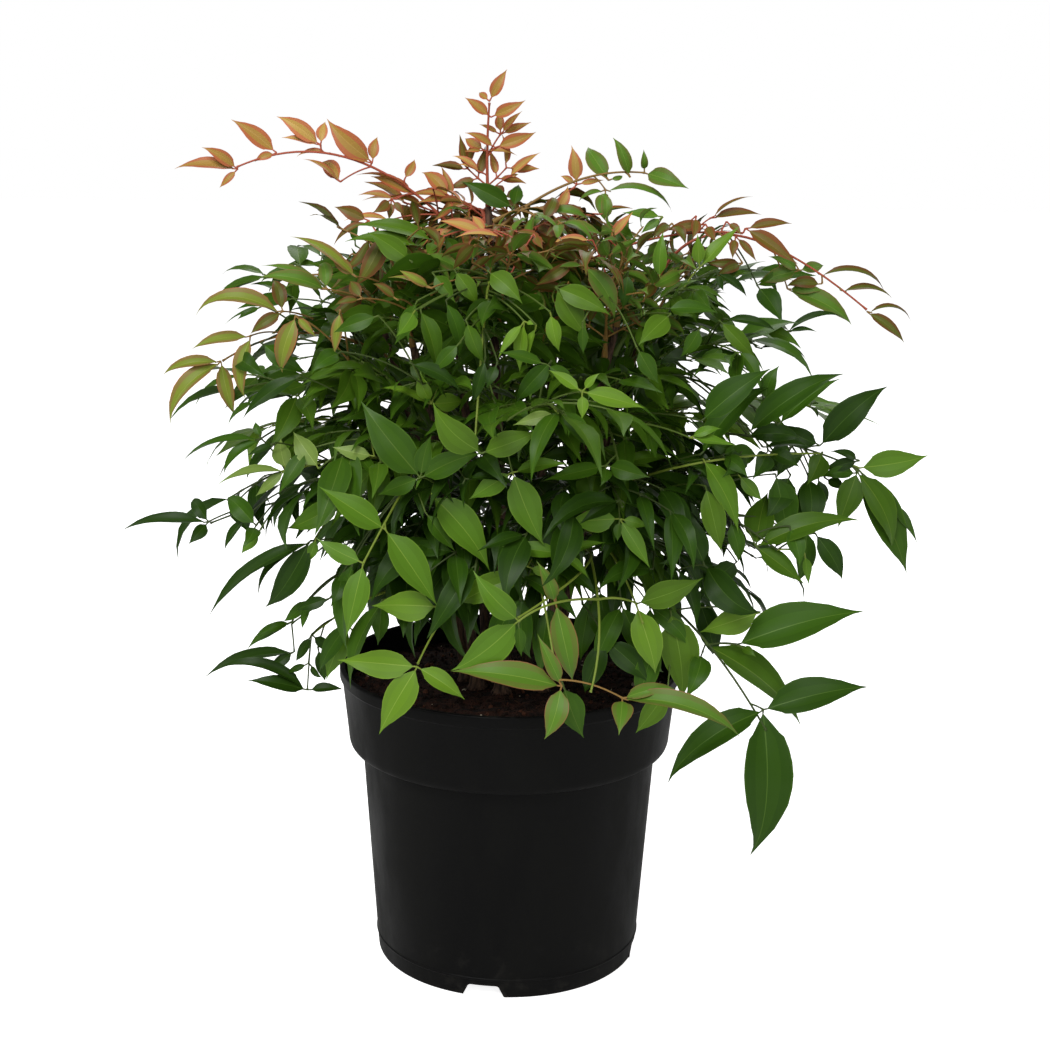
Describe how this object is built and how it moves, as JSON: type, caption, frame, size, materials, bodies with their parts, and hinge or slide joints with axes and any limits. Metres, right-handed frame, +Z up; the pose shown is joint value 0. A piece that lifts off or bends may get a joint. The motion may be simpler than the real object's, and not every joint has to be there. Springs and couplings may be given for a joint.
{
  "type": "potted heavenly bamboo",
  "caption": "Heavenly bamboo shrub in a round black nursery pot: slim brown canes rise from dark soil into a full, rounded crown of pinnate leaves, green below and bronze at the tips.",
  "frame": {"origin": "centre of the pot's flat underside", "axes": "+Z up from the pot's underside to the crown, +Y from the front of the plant to its back, +X to the right seen from the front"},
  "size_m": [0.5362, 0.4341, 0.5978],
  "materials": {
    "pot": "matt black injection-moulded plastic with a faint soft sheen",
    "soil": "dark brown crumbly potting soil",
    "bark": "brown furrowed bark with rings at the old leaf bases",
    "leaf_dark": "very dark green, softly glossy leaf",
    "leaf_green": "mid green, softly glossy leaf",
    "leaf_bright": "bright green, softly glossy leaf with a pale midrib",
    "leaf_fresh": "fresh yellow-green leaf with a reddish margin",
    "leaf_bronze": "bronze to coral young leaf on a red stalk"
  },
  "bodies": {
    "root": {"pot": "pot", "soil": "soil", "cane_1": "bark", "cane_2": "bark", "cane_3": "bark", "cane_4": "bark", "cane_5": "bark", "cane_6": "bark", "cane_7": "bark", "cane_8": "bark", "leaf_top_shoot": "leaf_bronze", "leaf_top_left_arch": "leaf_bronze", "leaf_top_right_arch": "leaf_bronze", "leaf_right_high_arch": "leaf_bronze", "leaf_green_arch": "leaf_fresh", "leaf_pink_shoot": "leaf_bronze", "leaf_left_cluster": "leaf_fresh", "leaf_left_high": "leaf_fresh", "leaf_left_middle": "leaf_dark", "leaf_left_pale": "leaf_bright", "leaf_left_long": "leaf_dark", "leaf_left_low": "leaf_dark", "leaf_left_front_low": "leaf_bright", "leaf_front_three": "leaf_bright", "leaf_front_middle": "leaf_bright", "leaf_front_hanging": "leaf_bright", "leaf_front_left": "leaf_bright", "leaf_front_centre": "leaf_bright", "leaf_front_right": "leaf_green", "leaf_front_right_low": "leaf_bright", "leaf_heart_right": "leaf_green", "leaf_heart_back": "leaf_green", "leaf_right_far": "leaf_dark", "leaf_right_front": "leaf_dark", "leaf_right_low": "leaf_dark", "leaf_right_upper": "leaf_dark", "leaf_fill_01": "leaf_dark", "leaf_fill_02": "leaf_dark", "leaf_fill_03": "leaf_dark", "leaf_fill_04": "leaf_dark", "leaf_fill_05": "leaf_dark", "leaf_fill_06": "leaf_dark", "leaf_fill_07": "leaf_dark", "leaf_fill_08": "leaf_dark", "leaf_fill_09": "leaf_bright", "leaf_fill_10": "leaf_bright", "leaf_fill_11": "leaf_bright", "leaf_fill_12": "leaf_bright", "leaf_fill_13": "leaf_bright", "leaf_fill_14": "leaf_green", "leaf_fill_15": "leaf_green", "leaf_fill_16": "leaf_green", "leaf_fill_17": "leaf_green", "leaf_fill_18": "leaf_green", "leaf_fill_19": "leaf_green", "leaf_fill_20": "leaf_green", "leaf_fill_21": "leaf_fresh", "leaf_fill_22": "leaf_fresh", "leaf_fill_23": "leaf_fresh", "leaf_fill_24": "leaf_fresh"}
  },
  "joints": []
}
